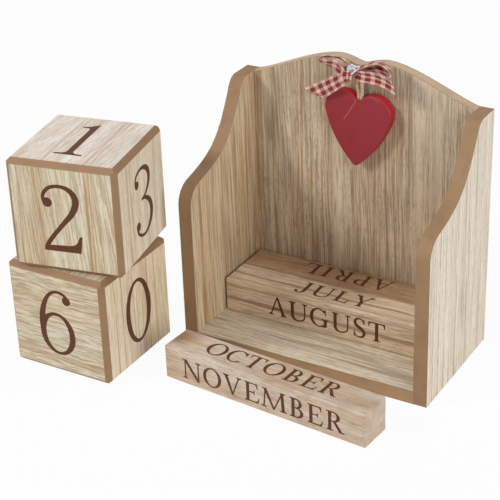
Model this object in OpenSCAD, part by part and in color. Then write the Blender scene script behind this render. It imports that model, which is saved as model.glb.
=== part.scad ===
// Perpetual desk calendar: an open veneered stand with a hanging heart,
// two numbered cubes for the day and three square sticks for the month.
// Frame: X to the right, Y to the rear, Z up, origin at the centre of the stand's underside.

/* [Boards] */
// Thickness of the fibreboard inside the side and base boards
board_core = 7; // [5:0.5:10]
// Thickness of the fibreboard inside the back board
back_core_t = 6; // [4:0.5:9]
// Thickness of one face veneer
veneer = 0.5; // [0.3:0.1:0.8]

/* [Stand] */
// Width over the side boards
stand_w = 150; // [135:1:180]
// Depth of the side boards
stand_d = 79; // [74:1:100]
// Height of the side boards at the rear
side_h = 141; // [130:1:165]
// Height of the front edge where its rounded shoulder starts
shoulder_h = 86; // [70:1:95]
// Radius of the rounded shoulder
shoulder_r = 12.5; // [8:0.5:16]
// Slope at which the shoulder runs into the sweep, in degrees
shoulder_slope = 12; // [5:1:20]
// Slope at which the sweep reaches its rounded crown, in degrees
crown_slope = 63; // [55:1:70]
// Radius of the rounded crown
crown_r = 8; // [5:0.5:10]
// Length of the flat on top of a side board
side_flat = 14; // [10:0.5:18]
// Height of the two lobes on the back board
lobe_h = 158.2; // [150:0.1:185]
// Distance of each lobe's peak from the middle
lobe_x = 14; // [10:0.5:20]
// Depth of the dip between the lobes
lobe_dip = 3; // [1:0.5:6]
// Diameter of the blind wood pins in the corner joints
dowel_d = 3; // [2:0.5:4]
// Length of a wood pin
dowel_len = 16; // [12:1:24]
// Depth to which a wood pin enters a side board
dowel_in_side = 5; // [3:0.5:6]
// Radial clearance of a wood pin in its hole
dowel_gap = 0.05; // [0.02:0.01:0.1]

/* [Cubes] */
// Room that both cubes together leave in the stand's width
cube_room = 6; // [3:0.5:12]
// Width of the bevel on a cube's edges
cube_bevel = 3; // [1.5:0.25:5]
// Distance from the stand's left side to the lower cube
cube_off_x = 11; // [8:0.5:30]
// Distance of the cubes' rear faces behind the stand's front edge
cube_behind_front = 3.2; // [0:0.1:6]
// Sideways shift of the upper cube on the lower one
upper_shift_x = 2.7; // [-4:0.1:4]
// Rearward shift of the upper cube on the lower one
upper_shift_y = 2.4; // [-4:0.1:3]
// Turn of the upper cube on the lower one, in degrees
upper_turn = 11; // [-20:1:20]

/* [Month sticks] */
// Side of a stick's square section
stick_side = 20.5; // [15:0.5:22]
// Room that a stick leaves in the stand's width
stick_room = 6; // [3:0.5:12]
// Width of the eased edges on a stick
stick_ease = 0.6; // [0.3:0.1:1.5]
// Clearance between one stick and the next, and to the back
stick_gap = 0.3; // [0.2:0.1:1]
// Gap left of the two stored sticks
stick_left_gap = 1.3; // [0.5:0.1:2.5]
// Distance from the stand's front edge to the middle of the loose stick
loose_off = 32.6; // [28:0.1:60]
// Turn of the loose stick, in degrees
loose_turn = -5; // [-10:1:10]

/* [Heart] */
// Width of the heart
heart_w = 40; // [30:1:46]
// Height of the heart
heart_h = 43; // [34:1:48]
// Thickness of the heart
heart_t = 6; // [5:0.5:7]
// Radius of the heart's two lobes
heart_lobe_r = 10.7; // [9:0.1:11.5]
// Radius of the heart's slightly curved flanks
heart_flank_r = 62; // [50:1:90]
// Radius of the heart's tip
heart_tip_r = 2; // [1:0.5:4]
// Lean of the heart, in degrees
heart_lean = 2.5; // [0:0.5:5]
// Clearance between the heart and the back board
heart_gap = 0.3; // [0.2:0.1:1]
// Distance from the nail down to the heart's notch
hang_len = 16; // [12:0.5:22]
// Diameter of one strand of the twine
twine_d = 2; // [1.5:0.1:2.2]
// Depth to which the twine is glued into the heart
twine_in_heart = 7; // [4:0.5:9]
// Diameter of the nail's shank
nail_d = 1.2; // [0.8:0.1:1.4]
// Distance of the nail below the dip in the back board
nail_drop = 3.2; // [2:0.1:8]
// Distance of the nail right of the middle
nail_x = 1; // [-3:0.5:3]
// Depth to which the nail enters the back board
nail_in_board = 5; // [3:0.5:6]

/* [Bow] */
// Width of the ribbon
ribbon_w = 10; // [8:0.5:12]
// Thickness of the plain solid that stands for one ribbon layer
ribbon_t = 1; // [0.6:0.1:1.5]
// Depth of the bow in front of the nail's head
bow_depth = 8; // [4:0.5:10]
// Reach of each loop from the bow's middle
loop_reach = 20; // [15:0.5:24]
// Length of each tail from the bow's middle
tail_len = 32; // [22:0.5:36]
// Diameter of the thread that ties the bow
thread_d = 0.8; // [0.5:0.1:1.2]

/* [Hidden] */
$fn = 48;
eps = 0.01;
CURVE_STEPS = 28;
ARC_STEPS = 10;

FACES = ["front", "back", "left", "right", "top", "bottom"];
FACE_TURNS = [[90, 0, 0], [-90, 0, 0], [0, -90, 0], [0, 90, 0], [0, 0, 0], [180, 0, 0]];
STAND_NODES = ["base_core", "base_top_veneer", "base_under_veneer",
    "back_core", "back_front_veneer", "back_rear_veneer",
    "left_side_core", "left_side_inner_veneer", "left_side_outer_veneer",
    "right_side_core", "right_side_inner_veneer", "right_side_outer_veneer",
    "left_joint_dowels", "right_joint_dowels"];
CUBE_NODES = [for (c = ["lower_cube", "upper_cube"])
    each concat([str(c, "_core")], [for (f = FACES) str(c, "_", f, "_veneer")])];
OTHER_NODES = ["rear_month_stick", "front_month_stick", "loose_month_stick",
    "heart", "twine_loop", "hanging_nail", "ribbon_bow", "bow_thread"];

// Boards
board_t = board_core + 2 * veneer;
back_t = back_core_t + 2 * veneer;
inner_w = stand_w - 2 * board_t;
front_y = -stand_d / 2;
rear_y = stand_d / 2;
panel_y = rear_y - back_t;
base_d = stand_d - back_t;

// Corner pins: how far those of the base stand from its ends, and where those of the back stand up its height
base_pin_inset = 18;
base_pin_y = [front_y + base_pin_inset, panel_y - base_pin_inset];
back_pin_share = [0.21, 0.53, 0.85];

// Curves of the boards: how far each end pulls the sweep of a side towards the corner of its slopes,
// how the back's edge leaves the sides [inwards, upwards], and its sideways pulls at a lobe and at the dip
sweep_pull = 0.85;
edge_pull = [10, 1.8];
lobe_pull_out = 16;
lobe_pull_in = 6;
dip_pull = 2.5;

// Cubes
cube_side = (inner_w - cube_room) / 2;
lower_x = -stand_w / 2 - cube_off_x - cube_side / 2;
lower_y = front_y + cube_behind_front - cube_side / 2;

// Sticks
stick_len = inner_w - stick_room;
stored_x = -inner_w / 2 + stick_left_gap + stick_len / 2;
rear_stick_y = panel_y - stick_gap - stick_side / 2;
front_stick_y = rear_stick_y - stick_gap - stick_side;

// Heart and its hanging
dip_z = lobe_h - lobe_dip;
nail_z = dip_z - nail_drop;
heart_rear_y = panel_y - heart_gap;
hang_y = heart_rear_y - heart_t / 2;
lobe_cx = heart_w / 2 - heart_lobe_r;
lobe_cz = heart_h - heart_lobe_r;
notch_z = lobe_cz + sqrt(heart_lobe_r ^ 2 - lobe_cx ^ 2);
balance_share = 0.57;
heart_balance_z = balance_share * heart_h;
nail_head_d = 3;
nail_head_t = 0.6;
head_gap = 0.3;
nail_face_y = heart_rear_y - heart_t - head_gap;
bow_back_y = nail_face_y - nail_head_t;
strand_gap = 0.1;
strand_half = (twine_d + strand_gap) / 2;
hole_ease = 0.1;
nail_ease = 0.4;
loop_half = nail_d / 2 + nail_ease + twine_d / 2;

// Bow: its middle from the nail, its gathered waist, the thread's turns, how the loops' ends are set
// into the waist, and the tails' turns, the right one being the shorter by right_tail_less
bow_shift = [-2, 2.5];
bow_x = nail_x + bow_shift.x;
bow_z = nail_z + bow_shift.y;
waist_w = 7;
waist_h = 0.9 * ribbon_w;
thread_turns = 3;
thread_shift = 1;
loop_root = 2;
loop_inset = 0.5;
left_tail_turn = 30;
right_tail_turn = -6;
right_tail_less = 7;

// Points of a cubic curve from a to d, pulled towards b and c
function curve(a, b, c, d, n = CURVE_STEPS) =
    [for (i = [0:n]) let (t = i / n, s = 1 - t)
        s ^ 3 * a + 3 * s * s * t * b + 3 * s * t * t * c + t ^ 3 * d];

// Points of an arc round c from angle a0 to a1
function arc(c, r, a0, a1, n = ARC_STEPS) =
    [for (i = [0:n]) let (a = a0 + (a1 - a0) * i / n) c + r * [cos(a), sin(a)]];

// Where the line through p along u meets the line through q along v
function crossing(p, u, q, v) =
    let (d = q - p, k = (d.x * v.y - d.y * v.x) / (u.x * v.y - u.y * v.x)) p + k * u;

// Outline of a side board, in Y and Z
module side_outline() {
    shoulder_c = [front_y + shoulder_r, shoulder_h];
    crown_c = [rear_y - side_flat, side_h - crown_r];
    shoulder = arc(shoulder_c, shoulder_r, 180, 90 + shoulder_slope);
    crown = arc(crown_c, crown_r, 90 + crown_slope, 90);
    low = shoulder[ARC_STEPS];
    high = crown[0];
    meet = crossing(low, [cos(shoulder_slope), sin(shoulder_slope)],
        high, [cos(crown_slope), sin(crown_slope)]);
    sweep = curve(low, low + sweep_pull * (meet - low), high + sweep_pull * (meet - high), high);
    polygon(concat([[rear_y, 0], [front_y, 0]], shoulder,
        [for (i = [1:CURVE_STEPS - 1]) sweep[i]], crown, [[rear_y, side_h]]));
}

// Outline of the back board, in X and Z
module back_outline() {
    half = inner_w / 2;
    peak = [lobe_x, lobe_h];
    flank = curve([half, side_h], [half - edge_pull.x, side_h + edge_pull.y],
        peak + [lobe_pull_out, 0], peak);
    inside = curve(peak, peak - [lobe_pull_in, 0], [dip_pull, dip_z], [0, dip_z], ARC_STEPS);
    right = concat(flank, [for (i = [1:ARC_STEPS]) inside[i]]);
    last = len(right) - 1;
    left = [for (i = [1:last]) [-right[last - i].x, right[last - i].y]];
    polygon(concat([[half, 0]], right, left, [[-half, 0]]));
}

// A layer of a side board, x0 from the stand's middle, t thick towards the outside
module side_layer(side, x0, t) {
    x = side > 0 ? x0 : -x0 - t;
    translate([x, 0, 0]) rotate([90, 0, 90]) linear_extrude(t) side_outline();
}

// A layer of the back board, from y0 towards the rear
module back_layer(y0, t) {
    translate([0, y0 + t, 0]) rotate([90, 0, 0]) linear_extrude(t) back_outline();
}

// The corner pins of one side, each grown by gap
module joint_pins(side, gap = 0) {
    x0 = inner_w / 2 + dowel_in_side + gap;
    length = dowel_len + 2 * gap;
    centres = concat([for (y = base_pin_y) [y, board_t / 2]],
        [for (share = back_pin_share) [rear_y - back_t / 2, share * side_h]]);
    for (c = centres)
        translate([side * x0, c.x, c.y]) rotate([0, -90 * side, 0])
            cylinder(d = dowel_d + 2 * gap, h = length);
}

module both_joint_pins(gap) {
    joint_pins(-1, gap);
    joint_pins(1, gap);
}

module nail_hole() {
    translate([nail_x, panel_y + nail_in_board, nail_z]) rotate([90, 0, 0])
        cylinder(d = nail_d, h = nail_in_board + 1);
}

module base_core() {
    color("#A87B55") difference() {
        translate([-inner_w / 2, front_y, veneer]) cube([inner_w, base_d, board_core]);
        both_joint_pins(dowel_gap);
    }
}

module base_top_veneer() {
    color("#C9AD85") translate([-inner_w / 2, front_y, veneer + board_core])
        cube([inner_w, base_d, veneer]);
}

module base_under_veneer() {
    color("#C9AD85") translate([-inner_w / 2, front_y, 0]) cube([inner_w, base_d, veneer]);
}

module back_core() {
    color("#A87B55") difference() {
        back_layer(panel_y + veneer, back_core_t);
        both_joint_pins(dowel_gap);
        nail_hole();
    }
}

module back_front_veneer() {
    color("#C3A47B") difference() {
        back_layer(panel_y, veneer);
        nail_hole();
    }
}

module back_rear_veneer() {
    color("#C3A47B") back_layer(rear_y - veneer, veneer);
}

module side_core(side) {
    color("#A87B55") difference() {
        side_layer(side, inner_w / 2 + veneer, board_core);
        joint_pins(side, dowel_gap);
    }
}

module side_inner_veneer(side) {
    color("#CDB48E") difference() {
        side_layer(side, inner_w / 2, veneer);
        joint_pins(side, dowel_gap);
    }
}

module side_outer_veneer(side) {
    color("#DCCBB0") side_layer(side, inner_w / 2 + veneer + board_core, veneer);
}

module joint_dowels(side) {
    color("#D9C39A") joint_pins(side);
}

// A block centred on the origin with every edge bevelled by ease
module eased_block(size, ease) {
    big = 2 * max(size.x, size.y, size.z);
    intersection() {
        cube(size, center = true);
        bevel_pair([0, 0, 0], size.x, size.y, ease, big);
        bevel_pair([90, 0, 0], size.x, size.z, ease, big);
        bevel_pair([0, -90, 0], size.z, size.y, ease, big);
    }
}

// The long prism that cuts the four bevels along one axis of an a by b section
module bevel_pair(turn, a, b, ease, big) {
    h = a / 2;
    k = b / 2;
    rotate(turn) linear_extrude(big, center = true)
        polygon([[h, k - ease], [h - ease, k], [ease - h, k], [-h, k - ease],
            [-h, ease - k], [ease - h, -k], [h - ease, -k], [h, ease - k]]);
}

// Puts a cube's centred parts where that cube stands
module place_cube(upper) {
    lift = upper ? 1.5 * cube_side : 0.5 * cube_side;
    translate([lower_x + (upper ? upper_shift_x : 0), lower_y + (upper ? upper_shift_y : 0), lift])
        rotate([0, 0, upper ? upper_turn : 0]) children();
}

module cube_core(upper) {
    inner = cube_side - 2 * veneer;
    color("#A9794F") place_cube(upper) intersection() {
        eased_block([cube_side, cube_side, cube_side], cube_bevel);
        cube(inner, center = true);
    }
}

module cube_veneer(upper, face) {
    turn = FACE_TURNS[search([face], FACES)[0]];
    color("#CDBB98") place_cube(upper) intersection() {
        eased_block([cube_side, cube_side, cube_side], cube_bevel);
        rotate(turn) translate([0, 0, cube_side / 2 - veneer / 2])
            cube([cube_side, cube_side, veneer], center = true);
    }
}

module month_stick() {
    color("#BE9B78") eased_block([stick_len, stick_side, stick_side], stick_ease);
}

module rear_month_stick() {
    translate([stored_x, rear_stick_y, board_t + stick_side / 2]) month_stick();
}

module front_month_stick() {
    translate([stored_x, front_stick_y, board_t + stick_side / 2]) month_stick();
}

module loose_month_stick() {
    translate([0, front_y - loose_off, stick_side / 2]) rotate([0, 0, loose_turn]) month_stick();
}

// Centre of the big circle that runs into both a lobe and the tip, on the left flank
function flank_centre() =
    let (lobe = [-lobe_cx, lobe_cz], tip = [0, heart_tip_r], d = lobe - tip,
        far = heart_flank_r - heart_lobe_r, near = heart_flank_r - heart_tip_r,
        along = (near ^ 2 - far ^ 2 - d * d) / (2 * far),
        angle = atan2(d.y, d.x) - acos(along / norm(d)))
    lobe + far * [cos(angle), sin(angle)];

// The heart's outline with its tip at the origin
module heart_outline() {
    lobe = [-lobe_cx, lobe_cz];
    tip = [0, heart_tip_r];
    c = flank_centre();
    a_tip = atan2(tip.y - c.y, tip.x - c.x);
    a_lobe = atan2(lobe.y - c.y, lobe.x - c.x);
    start = a_tip < 0 ? a_tip + 360 : a_tip;
    end = a_lobe < 0 ? a_lobe + 360 : a_lobe;
    notch_a = acos(lobe_cx / heart_lobe_r);
    left = concat(arc(tip, heart_tip_r, 270, start, 4), arc(c, heart_flank_r, start, end, 10),
        arc(lobe, heart_lobe_r, end, notch_a, 16));
    last = len(left) - 1;
    right = [for (i = [1:last - 1]) [-left[last - i].x, left[last - i].y]];
    polygon(concat(left, right));
}

// Hangs a part that is drawn with the heart's tip at the origin
module hang_heart() {
    translate([nail_x, heart_rear_y, nail_z - hang_len - notch_z + heart_balance_z])
        rotate([0, heart_lean, 0]) translate([0, 0, -heart_balance_z]) children();
}

module heart() {
    color("#9B2F3A") hang_heart() difference() {
        rotate([90, 0, 0]) linear_extrude(heart_t) heart_outline();
        translate([0, -heart_t / 2, notch_z - twine_in_heart])
            cylinder(d = 2 * (strand_half + hole_ease) + twine_d, h = 2 * twine_in_heart);
    }
}

// A point of the heart's own plane, as seen from the nail once the heart hangs
function on_heart(x, z) = let (up = z - heart_balance_z)
    [x * cos(heart_lean) + up * sin(heart_lean),
        up * cos(heart_lean) - x * sin(heart_lean) + heart_balance_z - notch_z - hang_len];

// Middle line of the twine in X and Z, from the nail: up one strand, over the nail and down the other.
// The strands lie side by side in the heart's hole and between its lobes, and part higher up.
hole_end_gap = 0.3;
function strand(side) = [
    on_heart(side * strand_half, notch_z - twine_in_heart + hole_end_gap),
    on_heart(side * strand_half, notch_z + 0.2 * hang_len),
    [side * (strand_half + loop_half) / 2, -0.5 * hang_len],
    [side * loop_half, -0.3 * hang_len]];
function reversed(list) = [for (i = [len(list) - 1:-1:0]) list[i]];
twine_line = concat(strand(-1), arc([0, 0], loop_half, 180, 0, 12), reversed(strand(1)));

// A closed tube of n sides along a line that stays in the X, Z plane
module flat_tube(line, d, n = 8) {
    last = len(line) - 1;
    function along(i) = line[min(i + 1, last)] - line[max(i - 1, 0)];
    rings = [for (i = [0:last]) let (u = along(i) / norm(along(i)), side = [u.y, -u.x])
        for (k = [0:n - 1]) let (a = 360 * k / n)
            [line[i].x + cos(a) * side.x * d / 2, sin(a) * d / 2, line[i].y + cos(a) * side.y * d / 2]];
    walls = [for (i = [0:last - 1]) for (k = [0:n - 1]) let (m = (k + 1) % n)
        [i * n + k, i * n + m, (i + 1) * n + m, (i + 1) * n + k]];
    polyhedron(rings, concat(walls, [[for (k = [n - 1:-1:0]) k], [for (k = [0:n - 1]) last * n + k]]));
}

module twine_loop() {
    color("#C8AA82") translate([nail_x, hang_y, nail_z]) flat_tube(twine_line, twine_d);
}

module hanging_nail() {
    color("#B8B8B4") translate([nail_x, panel_y + nail_in_board, nail_z]) rotate([90, 0, 0]) {
        cylinder(d = nail_d, h = panel_y + nail_in_board - nail_face_y + eps);
        translate([0, 0, panel_y + nail_in_board - nail_face_y]) cylinder(d = nail_head_d, h = nail_head_t);
    }
}

// A bow layer of the given outline in X and Z, set back from the bow's front
module bow_layer(set_back, t) {
    translate([bow_x, bow_back_y - bow_depth + set_back + t, bow_z]) rotate([90, 0, 0])
        linear_extrude(t) children();
}

// Turns of thread round the waist of the bow
module thread_band() {
    band = thread_turns * thread_d;
    translate([bow_x + thread_shift - band / 2, bow_back_y - bow_depth - thread_d / 2,
        bow_z - waist_h / 2 - thread_d / 2])
        difference() {
            cube([band, bow_depth + thread_d / 2, waist_h + thread_d]);
            translate([-1, thread_d, thread_d])
                cube([band + 2, bow_depth + thread_d / 2 - 2 * thread_d, waist_h - thread_d]);
        }
}

// Outlines of the two loops in X and Z, each ending over the waist
function left_loop() = [[-loop_root, -0.2 * ribbon_w], [-loop_root, 0.4 * ribbon_w],
    [-0.17 * loop_reach, 0.65 * ribbon_w], [-0.4 * loop_reach, 0.77 * ribbon_w],
    [-0.8 * loop_reach, 0.7 * ribbon_w], [-0.92 * loop_reach, 0.5 * ribbon_w],
    [-0.93 * loop_reach, 0.3 * ribbon_w], [-0.6 * loop_reach, 0.07 * ribbon_w],
    [-0.3 * loop_reach, -0.2 * ribbon_w]];
function right_loop() = [[loop_root, -0.2 * ribbon_w], [loop_root, 0.4 * ribbon_w],
    [0.55 * loop_reach, 0.7 * ribbon_w], [0.9 * loop_reach, 0.9 * ribbon_w],
    [1.1 * loop_reach, 0.75 * ribbon_w], [1.19 * loop_reach, 0.4 * ribbon_w],
    [1.05 * loop_reach, 0], [0.5 * loop_reach, -0.1 * ribbon_w]];

// A tail of the bow: top and width as shares of the ribbon's width, slant of its cut end
module tail(side, turn, length, top, width, slant) {
    low = (top - width) * ribbon_w;
    bow_layer(bow_depth - ribbon_t, ribbon_t) rotate(turn)
        polygon([[0, top * ribbon_w], [0, low], [side * (length - slant), low],
            [side * length, top * ribbon_w]]);
}

module ribbon_bow() {
    color("#B4505A") difference() {
        union() {
            translate([bow_x - waist_w / 2, bow_back_y - bow_depth, bow_z - waist_h / 2])
                cube([waist_w, bow_depth, waist_h]);
            bow_layer(loop_inset, bow_depth - 2 * loop_inset) polygon(left_loop());
            bow_layer(loop_inset, bow_depth - 2 * loop_inset) polygon(right_loop());
            tail(-1, left_tail_turn, tail_len, top = 0.22, width = 0.94, slant = 9.5);
            tail(1, right_tail_turn, tail_len - right_tail_less, top = 0.2, width = 0.8, slant = -2.5);
        }
        thread_band();
    }
}

module bow_thread() {
    color("#E6E4DE") thread_band();
}

base_core();
base_top_veneer();
base_under_veneer();
back_core();
back_front_veneer();
back_rear_veneer();
side_core(-1);  // left_side_core
side_inner_veneer(-1);  // left_side_inner_veneer
side_outer_veneer(-1);  // left_side_outer_veneer
side_core(1);  // right_side_core
side_inner_veneer(1);  // right_side_inner_veneer
side_outer_veneer(1);  // right_side_outer_veneer
joint_dowels(-1);  // left_joint_dowels
joint_dowels(1);  // right_joint_dowels
cube_core(false);  // lower_cube_core
cube_core(true);  // upper_cube_core
for (face = FACES) {
    cube_veneer(false, face);
    cube_veneer(true, face);
}
rear_month_stick();
front_month_stick();
loose_month_stick();
heart();
twine_loop();
hanging_nail();
ribbon_bow();
bow_thread();
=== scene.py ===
# %% [markdown]
# # A wooden desk calendar with cubes and sticks
# The calendar is an open stand, two numbered cubes for the day, three lettered sticks for the
# month, and a red heart that hangs on twine behind a gingham bow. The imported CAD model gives
# every solid its place and size. This lesson adds what CAD leaves out: grain, print, paint,
# twine and ribbon. The first step loads that model as a frame that never moves.

# %% Load the frame
from math import acos, atan2, cos, degrees, hypot, pi, radians, sin, sqrt, tau

import bmesh
import bpy
from mathutils import Matrix, Quaternion, Vector
from mathutils.geometry import delaunay_2d_cdt


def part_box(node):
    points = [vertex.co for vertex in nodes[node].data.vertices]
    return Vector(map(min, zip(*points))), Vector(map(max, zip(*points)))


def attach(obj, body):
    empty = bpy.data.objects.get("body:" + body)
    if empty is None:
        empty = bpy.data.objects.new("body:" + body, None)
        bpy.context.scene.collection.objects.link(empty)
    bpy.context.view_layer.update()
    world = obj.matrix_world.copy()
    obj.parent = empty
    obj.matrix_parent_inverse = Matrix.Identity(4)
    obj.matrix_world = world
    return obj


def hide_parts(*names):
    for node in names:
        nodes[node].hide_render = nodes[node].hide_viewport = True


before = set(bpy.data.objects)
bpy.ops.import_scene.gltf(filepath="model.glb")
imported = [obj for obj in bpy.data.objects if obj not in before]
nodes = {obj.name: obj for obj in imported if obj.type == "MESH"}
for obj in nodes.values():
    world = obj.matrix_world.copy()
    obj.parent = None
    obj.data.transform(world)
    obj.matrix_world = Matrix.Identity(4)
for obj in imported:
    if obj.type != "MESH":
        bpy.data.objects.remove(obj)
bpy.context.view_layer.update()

MM = 0.001
scene = bpy.context.scene

# %% [markdown]
# ## The camera
# From a step back and through a long lens, the upright edges of a small object lean only a
# little. The camera stands right of the middle and looks down at about 28 degrees. Yaw and
# pitch give the direction of view, and a small roll levels it.

# %% Camera
EYE = Vector((344.85, -663.25, 453.18)) * MM
YAW, PITCH, ROLL = -0.5415, -0.4851, -0.0361
LENS_MM, SENSOR_MM = 109.93, 36
NEAREST, FARTHEST = 0.01, 20


def add_object(name, data):
    """Puts a camera, a lamp or a mesh into the scene."""
    thing = bpy.data.objects.new(name, data)
    scene.collection.objects.link(thing)
    return thing


def set_up(thing, place, way):
    """Stands a camera or a lamp at a place, turned to face along a direction."""
    thing.location = place
    thing.rotation_mode = "QUATERNION"
    thing.rotation_quaternion = way.to_track_quat("-Z", "Y")


gaze = Vector((sin(YAW) * cos(PITCH), cos(YAW) * cos(PITCH), sin(PITCH)))
camera = add_object("camera", bpy.data.cameras.new("camera"))
camera.data.lens = LENS_MM
camera.data.sensor_width = SENSOR_MM
camera.data.clip_start, camera.data.clip_end = NEAREST, FARTHEST
set_up(camera, EYE, gaze)
camera.rotation_quaternion @= Quaternion((0, 0, 1), ROLL)
scene.camera = camera
print("camera looks along", [round(c, 3) for c in gaze])

# %% [markdown]
# ## Sums with sockets
# A material is a tree of nodes joined by sockets. Written out node by node, even a simple sum
# takes many lines. This class holds one socket and gives Python's own signs a meaning for it:
# `1 - mask` adds a Math node and returns its output. Every other kind of node goes through
# `add`, which sets the node's settings by their names and links or fills its inputs.

# %% A socket that understands sums
class Wire:
    """An output socket of a node tree."""

    def __init__(self, tree, socket=None):
        self.tree, self.socket = tree, socket

    def add(self, kind, inputs=None, out=0, **settings):
        """Adds a node of this kind and returns one of its outputs as a new Wire."""
        node = self.tree.nodes.new("ShaderNode" + kind)
        for key, value in settings.items():
            setattr(node, key, value)
        for key, value in (inputs or {}).items():
            if isinstance(value, Wire):
                self.tree.links.new(value.socket, node.inputs[key])
            else:
                node.inputs[key].default_value = value
        return Wire(self.tree, node.outputs[out])

    def maths(self, operation, *others):
        return self.add("Math", dict(enumerate((self, *others))), operation=operation)

    def __add__(self, other):
        return self.maths("ADD", other)

    def __sub__(self, other):
        return self.maths("SUBTRACT", other)

    def __rsub__(self, other):
        return self.add("Math", {0: other, 1: self}, operation="SUBTRACT")

    def __mul__(self, other):
        return self.maths("MULTIPLY", other)

    __radd__, __rmul__ = __add__, __mul__

    def __abs__(self):
        return self.maths("ABSOLUTE")

    def parts(self, axes="XYZ"):
        """The separate numbers of a vector."""
        return [self.add("SeparateXYZ", {0: self}, axis) for axis in axes]

    def noise(self, x, y, z, detail=1.0):
        """Soft noise from 0 to 1 at the point x, y, z."""
        point = self.add("CombineXYZ", {0: x, 1: y, 2: z})
        return self.add("TexNoise", {"Vector": point, "Scale": 1.0, "Detail": detail})

    def step(self, low, high):
        """0 below low and 1 above high, with a soft rise between them."""
        return self.add("MapRange", {"Value": self, "From Min": low, "From Max": high},
                        interpolation_type="SMOOTHSTEP")

    def fade(self, low, high):
        """1 below low and 0 above high: the reverse of step."""
        return 1 - self.step(low, high)

    def facing(self, way):
        """How squarely the surface looks along a direction or against it, from 0 to 1."""
        normal = self.add("TexCoord", None, "Normal")
        return abs(self.add("VectorMath", {0: normal, 1: way}, "Value", operation="DOT_PRODUCT"))

    def over(self, base, colour):
        """This wire as a mask that lays colour over base."""
        return self.add("Mix", {0: self, 6: base, 7: colour}, 2, data_type="RGBA")

# %% [markdown]
# ## Starting a finish
# Colours are easiest to pick as the 0 to 255 numbers of a screen, but a shader works with
# light, so `rgb` converts them. `finish` starts a material and returns its shader, with the
# three Object coordinates in millimetres, measured from a piece's own centre and turned with
# it. A pattern on these coordinates stays put when the piece moves. `feed` links what varies.
# `speckle` is noise that looks the same in all directions.

# %% Colours and a blank finish
def rgb(*numbers):
    return tuple(((n / 255 + 0.055) / 1.055) ** 2.4 for n in numbers) + (1.0,)


def shade(tone, factor=1.0):
    """The colour of a 0 to 255 tone, made lighter or darker by a factor."""
    return rgb(*(min(255, factor * n) for n in tone))


def finish(name, roughness, centre=(0, 0, 0), turn=0.0):
    material = bpy.data.materials.new(name)
    material.use_nodes = True
    shader = material.node_tree.nodes["Principled BSDF"]
    shader.inputs["Roughness"].default_value = roughness
    wire = Wire(material.node_tree)
    place = wire.add("Mapping", {
        "Vector": wire.add("TexCoord", None, "Object"), "Location": Vector(centre) * MM,
        "Rotation": (0, 0, radians(turn)), "Scale": (MM, MM, MM)}, vector_type="TEXTURE")
    return material, shader, place.parts()


def speckle(xyz, scale, seed=0.0, detail=3.0):
    x, y, z = xyz
    return x.noise(scale * x, scale * y, scale * z + seed, detail)


BUMP_STRENGTH = 0.6


def feed(shader, colour, roughness=None, height=None, depth=0.1):
    """Links what varies over the surface. Depth is the height of the relief in millimetres."""
    links = shader.id_data.links
    links.new(colour.socket, shader.inputs["Base Color"])
    if roughness:
        links.new(roughness.socket, shader.inputs["Roughness"])
    if height:
        bump = height.add("Bump", {"Strength": BUMP_STRENGTH, "Distance": depth * MM, "Height": height})
        links.new(bump.socket, shader.inputs["Normal"])

# %% [markdown]
# ## Veneer
# The boards and cubes are faced with thin slices of a light, straight-grained wood. In a log
# each year's growth is a cone round the pith, so a slice shows lines of equal distance from
# it: straight far from the pith and arched near it. That distance, bent by slow noise, drives
# the broad bands, the fine ribs and the dark lines at a year's end. Fibres and pores are finer
# noise, stretched along the grain. Streaks that stand out on one face are listed by place, and
# a minus sign makes one pale. The cut edge of a slice is as brown as the board.

# %% Veneer
X, Y, Z = 0, 1, 2
FACING = ((1, 0, 0), (0, 1, 0), (0, 0, 1))
BOARD_TONE = (150, 116, 83)
WEATHER_GREY = rgb(202, 196, 180)
STREAK_BROWN = rgb(160, 113, 61)


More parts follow.
